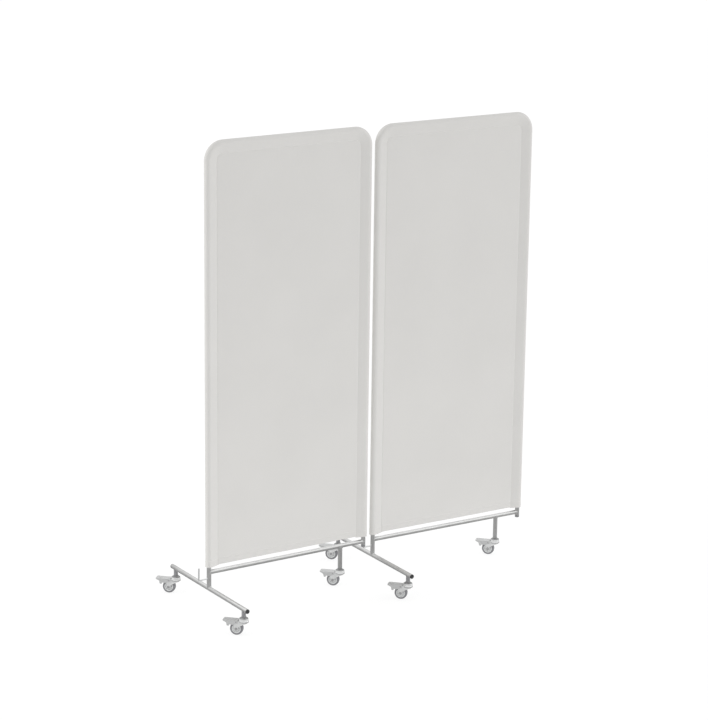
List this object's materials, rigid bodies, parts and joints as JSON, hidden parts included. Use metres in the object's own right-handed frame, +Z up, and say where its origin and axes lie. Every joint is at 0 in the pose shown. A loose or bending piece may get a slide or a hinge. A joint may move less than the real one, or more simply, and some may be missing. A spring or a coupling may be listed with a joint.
{
  "type": "wheeled privacy screen",
  "caption": "Folding ward screen on braked castors: cloth-covered tube frames linked by a lift-off peg hinge.",
  "frame": {"origin": "middle of the footprint on the floor, with every wheel standing on z = 0", "axes": "+Z up, +X along the fixed frame from its foot towards the hinge, +Y towards the back, away from the side the picture shows"},
  "size_m": [1.5682, 0.6404, 1.8797],
  "materials": {
    "frame_steel": "satin",
    "peg_zinc": "bright zinc",
    "castor_zinc": "bright zinc, pressed",
    "axle_steel": "dull",
    "cover_cloth": "plain weave, off-white",
    "dark_plastic": "moulded, matt",
    "collar_plastic": "moulded, matt",
    "hub_plastic": "moulded, satin",
    "tyre_rubber": "grey rubber"
  },
  "bodies": {
    "main_screen": {"main_frame_tube": "frame_steel", "main_socket_tube": "frame_steel", "main_bottom_rail": "frame_steel", "main_foot_tube": "frame_steel", "main_leg_tube": "frame_steel", "main_hinge_peg": "peg_zinc", "main_socket_bush": "dark_plastic", "main_cloth_cover": "cover_cloth", "main_front_foot_plug": "dark_plastic", "main_rear_foot_plug": "dark_plastic", "main_front_stem_collar": "collar_plastic", "main_rear_stem_collar": "collar_plastic", "main_front_castor_swivel_head": "castor_zinc", "main_rear_castor_swivel_head": "castor_zinc", "main_leg_castor_swivel_head": "castor_zinc"},
    "wing_screen": {"wing_frame_tube": "frame_steel", "wing_socket_tube": "frame_steel", "wing_bottom_rail": "frame_steel", "wing_foot_tube": "frame_steel", "wing_leg_tube": "frame_steel", "wing_hinge_peg": "peg_zinc", "wing_socket_bush": "dark_plastic", "wing_cloth_cover": "cover_cloth", "wing_front_foot_plug": "dark_plastic", "wing_rear_foot_plug": "dark_plastic", "wing_front_stem_collar": "collar_plastic", "wing_rear_stem_collar": "collar_plastic", "wing_front_castor_swivel_head": "castor_zinc", "wing_rear_castor_swivel_head": "castor_zinc", "wing_leg_castor_swivel_head": "castor_zinc"},
    "main_front_castor_swivel": {"main_front_castor_fork": "castor_zinc", "main_front_castor_axle": "axle_steel"},
    "main_front_castor_wheel": {"main_front_castor_wheel_hub": "hub_plastic", "main_front_castor_tyre": "tyre_rubber"},
    "main_front_castor_pedal": {"main_front_castor_brake_pedal": "castor_zinc"},
    "main_rear_castor_swivel": {"main_rear_castor_fork": "castor_zinc", "main_rear_castor_axle": "axle_steel"},
    "main_rear_castor_wheel": {"main_rear_castor_wheel_hub": "hub_plastic", "main_rear_castor_tyre": "tyre_rubber"},
    "main_rear_castor_pedal": {"main_rear_castor_brake_pedal": "castor_zinc"},
    "main_leg_castor_swivel": {"main_leg_castor_fork": "castor_zinc", "main_leg_castor_axle": "axle_steel"},
    "main_leg_castor_wheel": {"main_leg_castor_wheel_hub": "hub_plastic", "main_leg_castor_tyre": "tyre_rubber"},
    "main_leg_castor_pedal": {"main_leg_castor_brake_pedal": "castor_zinc"},
    "wing_front_castor_swivel": {"wing_front_castor_fork": "castor_zinc", "wing_front_castor_axle": "axle_steel"},
    "wing_front_castor_wheel": {"wing_front_castor_wheel_hub": "hub_plastic", "wing_front_castor_tyre": "tyre_rubber"},
    "wing_front_castor_pedal": {"wing_front_castor_brake_pedal": "castor_zinc"},
    "wing_rear_castor_swivel": {"wing_rear_castor_fork": "castor_zinc", "wing_rear_castor_axle": "axle_steel"},
    "wing_rear_castor_wheel": {"wing_rear_castor_wheel_hub": "hub_plastic", "wing_rear_castor_tyre": "tyre_rubber"},
    "wing_rear_castor_pedal": {"wing_rear_castor_brake_pedal": "castor_zinc"},
    "wing_leg_castor_swivel": {"wing_leg_castor_fork": "castor_zinc", "wing_leg_castor_axle": "axle_steel"},
    "wing_leg_castor_wheel": {"wing_leg_castor_wheel_hub": "hub_plastic", "wing_leg_castor_tyre": "tyre_rubber"},
    "wing_leg_castor_pedal": {"wing_leg_castor_brake_pedal": "castor_zinc"}
  },
  "joints": [
    {"name": "wing_hinge", "type": "hinge", "parent": "main_screen", "child": "wing_screen", "pos_m": [0.00509, -0.01907, 0.17], "axis": [0, 0, 1], "range_deg": [-100.75, 103.25]},
    {"name": "main_front_castor_swivel", "type": "hinge", "parent": "main_screen", "child": "main_front_castor_swivel", "pos_m": [-0.71491, -0.28907, 0.06], "axis": [0, 0, 1], "continuous": true},
    {"name": "main_front_castor_wheel_spin", "type": "hinge", "parent": "main_front_castor_swivel", "child": "main_front_castor_wheel", "pos_m": [-0.73435, -0.26963, 0.026], "axis": [0.7071, 0.7071, 0], "continuous": true},
    {"name": "main_front_castor_pedal_press", "type": "hinge", "parent": "main_front_castor_swivel", "child": "main_front_castor_pedal", "pos_m": [-0.73435, -0.26963, 0.0548], "axis": [-0.7071, -0.7071, 0], "range_deg": [0, 12]},
    {"name": "main_rear_castor_swivel", "type": "hinge", "parent": "main_screen", "child": "main_rear_castor_swivel", "pos_m": [-0.71491, 0.25093, 0.06], "axis": [0, 0, 1], "continuous": true},
    {"name": "main_rear_castor_wheel_spin", "type": "hinge", "parent": "main_rear_castor_swivel", "child": "main_rear_castor_wheel", "pos_m": [-0.73435, 0.27037, 0.026], "axis": [0.7071, 0.7071, 0], "continuous": true},
    {"name": "main_rear_castor_pedal_press", "type": "hinge", "parent": "main_rear_castor_swivel", "child": "main_rear_castor_pedal", "pos_m": [-0.73435, 0.27037, 0.0548], "axis": [-0.7071, -0.7071, 0], "range_deg": [0, 12]},
    {"name": "main_leg_castor_swivel", "type": "hinge", "parent": "main_screen", "child": "main_leg_castor_swivel", "pos_m": [-0.1059, -0.01907, 0.06], "axis": [0, 0, 1], "continuous": true},
    {"name": "main_leg_castor_wheel_spin", "type": "hinge", "parent": "main_leg_castor_swivel", "child": "main_leg_castor_wheel", "pos_m": [-0.12535, 0.00038, 0.026], "axis": [0.7071, 0.7071, 0], "continuous": true},
    {"name": "main_leg_castor_pedal_press", "type": "hinge", "parent": "main_leg_castor_swivel", "child": "main_leg_castor_pedal", "pos_m": [-0.12535, 0.00038, 0.0548], "axis": [-0.7071, -0.7071, 0], "range_deg": [0, 12]},
    {"name": "wing_front_castor_swivel", "type": "hinge", "parent": "wing_screen", "child": "wing_front_castor_swivel", "pos_m": [0.04469, -0.29, 0.06], "axis": [0, 0, 1], "continuous": true},
    {"name": "wing_front_castor_wheel_spin", "type": "hinge", "parent": "wing_front_castor_swivel", "child": "wing_front_castor_wheel", "pos_m": [0.02568, -0.27013, 0.026], "axis": [0.7224, 0.6915, 0], "continuous": true},
    {"name": "wing_front_castor_pedal_press", "type": "hinge", "parent": "wing_front_castor_swivel", "child": "wing_front_castor_pedal", "pos_m": [0.02568, -0.27013, 0.0548], "axis": [-0.7224, -0.6915, 0], "range_deg": [0, 12]},
    {"name": "wing_rear_castor_swivel", "type": "hinge", "parent": "wing_screen", "child": "wing_rear_castor_swivel", "pos_m": [0.05647, 0.24987, 0.06], "axis": [0, 0, 1], "continuous": true},
    {"name": "wing_rear_castor_wheel_spin", "type": "hinge", "parent": "wing_rear_castor_swivel", "child": "wing_rear_castor_wheel", "pos_m": [0.03746, 0.26974, 0.026], "axis": [0.7224, 0.6915, 0], "continuous": true},
    {"name": "wing_rear_castor_pedal_press", "type": "hinge", "parent": "wing_rear_castor_swivel", "child": "wing_rear_castor_pedal", "pos_m": [0.03746, 0.26974, 0.0548], "axis": [-0.7224, -0.6915, 0], "range_deg": [0, 12]},
    {"name": "wing_leg_castor_swivel", "type": "hinge", "parent": "wing_screen", "child": "wing_leg_castor_swivel", "pos_m": [0.65944, -0.03335, 0.06], "axis": [0, 0, 1], "continuous": true},
    {"name": "wing_leg_castor_wheel_spin", "type": "hinge", "parent": "wing_leg_castor_swivel", "child": "wing_leg_castor_wheel", "pos_m": [0.64042, -0.01348, 0.026], "axis": [0.7224, 0.6915, 0], "continuous": true},
    {"name": "wing_leg_castor_pedal_press", "type": "hinge", "parent": "wing_leg_castor_swivel", "child": "wing_leg_castor_pedal", "pos_m": [0.64042, -0.01348, 0.0548], "axis": [-0.7224, -0.6915, 0], "range_deg": [0, 12]}
  ]
}
